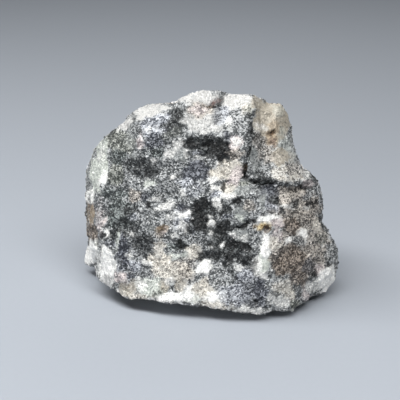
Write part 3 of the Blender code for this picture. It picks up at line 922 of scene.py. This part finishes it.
class SpecimenStone(bpy.types.PropertyGroup):
    """Sizes of the skin and of the grains drawn on it."""

    quads: IntProperty(
        name="Quads", description="Quads along each edge of the cube grid", default=128, min=8, max=128
    )
    easing: IntProperty(
        name="Easing", description="Rounds that wear the solid's facets", default=2, min=0
    )
    hackle: FloatProperty(
        name="Hackle", description="Height of the largest crests", default=0.00032, unit="LENGTH"
    )
    chip: FloatProperty(
        name="Chip", description="Height of the largest chips", default=0.00018, unit="LENGTH"
    )
    sink: FloatProperty(
        name="Sink", description="How far the skin lies under the solid, for its grains to fill",
        default=0.00025, unit="LENGTH",
    )
    grain: FloatProperty(
        name="Grain", description="Width of a mineral grain", default=0.00025, unit="LENGTH"
    )
    clot: FloatProperty(
        name="Clot", description="Width of a clot of like grains", default=0.0011, unit="LENGTH"
    )
    clotting: FloatProperty(
        name="Clotting", description="How far a clot moves the share of dark grains", default=0.12
    )
    drift: FloatProperty(
        name="Drift", description="How far clouds of grains move the share of dark ones", default=0.28
    )
    blend: FloatProperty(
        name="Blend", description="Width of the run of greys between pale and dark grains", default=0.25
    )
    cleavage: FloatProperty(
        name="Cleavage", description="How far grains' own planes lean from the skin", default=0.8
    )


class SpecimenGrains(bpy.types.PropertyGroup):
    """How many grains stand in the skin, and how large they are."""

    count: IntProperty(
        name="Count", description="Grains drawn over the whole stone", default=46000, min=1
    )
    most: IntProperty(
        name="Most", description="Grains that one piece may hold", default=16600, min=1, max=16600
    )
    seed: IntProperty(name="Seed", description="Start of the draws", default=7)
    smallest: FloatProperty(
        name="Smallest", description="Width of the smallest grain", default=0.00018, unit="LENGTH"
    )
    largest: FloatProperty(
        name="Largest", description="Width of the largest grain", default=0.00050, unit="LENGTH"
    )
    blend: FloatProperty(
        name="Blend", description="Width of the run of greys between pale and dark grains", default=0.20
    )


class SpecimenStage(bpy.types.PropertyGroup):
    """The floor and the light."""

    floor: FloatVectorProperty(
        name="Floor", description="Colour of the floor", subtype="COLOR", default=linear("#93989f")
    )
    above: FloatProperty(name="Above", description="Light from above", default=2.45, unit="POWER")
    front: FloatProperty(name="Front", description="Light from the front", default=0.36, unit="POWER")
    back: FloatProperty(name="Back", description="Light from behind", default=0.22, unit="POWER")
    air: FloatVectorProperty(
        name="Air", description="Colour of the light all round", subtype="COLOR",
        default=linear("#b9c3d0"),
    )


class SPECIMEN_OT_stone(bpy.types.Operator):
    """Make the stone's skin in place of its solid"""

    bl_idname = "specimen.stone"
    bl_label = "Stone"

    def execute(self, context):
        settings = context.scene.specimen_stone
        skin = make_skin(settings)
        skin.data.materials.append(broken_rock(settings))
        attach(skin, BODY)
        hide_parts(NODE)
        return {"FINISHED"}


class SPECIMEN_OT_grains(bpy.types.Operator):
    """Make the grains that stand in the stone's skin"""

    bl_idname = "specimen.grains"
    bl_label = "Grains"

    def execute(self, context):
        skin = bpy.data.objects.get(SKIN)
        if skin is None:
            raise RuntimeError("the grains need the stone's skin")
        for piece in sorted_grains(*skin_read(skin), context.scene.specimen_grains):
            piece.data.materials.append(single_mineral(*GRAIN_MINERALS[piece.name]))
            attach(piece, BODY)
        return {"FINISHED"}


FLOOR_RADIUS = 2000.0
FLOOR_RINGS = 24
FLOOR_SPOKES = 96
AIR_STRENGTH = 0.045
NEAR_CLIP = 0.01  # in metres
# Soft boxes, each named as the property that gives its power: place, width and depth.
LIGHTS = {
    "above": ((-50.0, -90.0, 292.0), 600.0, 100.0),
    "back": ((80.0, 260.0, 240.0), 300.0, 200.0),
    "front": ((-140.0, -300.0, 110.0), 250.0, 150.0),
}


def aimed_light(name, place, power, width, depth):
    """A soft box at a place in millimetres that faces the heart of the stone."""
    light = bpy.data.lights.new(name, "AREA")
    light.energy = power
    light.shape = "RECTANGLE"
    light.size = width * MM
    light.size_y = depth * MM
    lamp = bpy.data.objects.new(name, light)
    lamp.location = Vector(place) * MM
    lamp.rotation_euler = (Vector(HEART) - Vector(place)).to_track_quat("-Z", "Y").to_euler()
    bpy.context.scene.collection.objects.link(lamp)


class SPECIMEN_OT_stage(bpy.types.Operator):
    """Make the floor, the light and the camera"""

    bl_idname = "specimen.stage"
    bl_label = "Stage"

    def execute(self, context):
        settings = context.scene.specimen_stage
        floor = mesh_piece("floor", *disc(FLOOR_RADIUS, FLOOR_RINGS, FLOOR_SPOKES))
        floor.data.materials.append(matt_board(settings.floor))
        for name, (place, width, depth) in LIGHTS.items():
            aimed_light("light_" + name, place, getattr(settings, name), width, depth)
        world = bpy.data.worlds.new("air")
        world.use_nodes = True
        glow = world.node_tree.nodes["Background"].inputs
        glow["Color"].default_value = (*settings.air, 1.0)
        glow["Strength"].default_value = AIR_STRENGTH
        context.scene.world = world
        lens = bpy.data.cameras.new("eye")
        lens.lens = LENS
        lens.sensor_width = SENSOR
        lens.clip_start = NEAR_CLIP
        camera = bpy.data.objects.new("eye", lens)
        camera.location = Vector(EYE) * MM
        camera.rotation_euler = (math.pi / 2.0 - EYE_PITCH, 0.0, 0.0)
        context.scene.collection.objects.link(camera)
        context.scene.camera = camera
        context.scene.view_settings.view_transform = "Standard"
        return {"FINISHED"}


def disc(radius, rings, spokes):
    """A flat round sheet at the height of the foot: radius times the square of the ring, and turn."""
    reach = radius * (np.arange(1, rings + 1) / rings) ** 2
    turn = np.arange(spokes) * 2.0 * math.pi / spokes
    across = np.stack((np.outer(reach, np.cos(turn)), np.outer(reach, np.sin(turn))), -1).reshape(-1, 2)
    points = np.zeros((rings * spokes, 3))
    points[:, :2] = across
    ring, spoke = np.meshgrid(np.arange(rings - 1), np.arange(spokes), indexing="ij")
    here = ring * spokes + spoke
    beside = ring * spokes + (spoke + 1) % spokes
    quads = np.stack((here, here + spokes, beside + spokes, beside), -1).reshape(-1, 4)
    return points, quads


class SPECIMEN_PT_parts(bpy.types.Panel):
    """The specimen's operators, in the order that they run"""

    bl_idname = "SPECIMEN_PT_parts"
    bl_label = "Specimen"
    bl_space_type = "VIEW_3D"
    bl_region_type = "UI"
    bl_category = "Specimen"

    def draw(self, context):
        for name in OPERATORS:
            self.layout.operator(name)


GROUPS = {
    "specimen_stone": SpecimenStone,
    "specimen_grains": SpecimenGrains,
    "specimen_stage": SpecimenStage,
}
OPERATORS = ("specimen.stone", "specimen.grains", "specimen.stage")
CLASSES = (
    *GROUPS.values(), SPECIMEN_OT_stone, SPECIMEN_OT_grains, SPECIMEN_OT_stage, SPECIMEN_PT_parts
)


def register():
    for made in CLASSES:
        bpy.utils.register_class(made)
    for name, group in GROUPS.items():
        setattr(bpy.types.Scene, name, PointerProperty(type=group))


def unregister():
    for name in GROUPS:
        delattr(bpy.types.Scene, name)
    for made in reversed(CLASSES):
        bpy.utils.unregister_class(made)


def main():
    register()
    for name in OPERATORS:
        group, operator = name.split(".")
        getattr(getattr(bpy.ops, group), operator)()


if __name__ == "__main__":
    main()
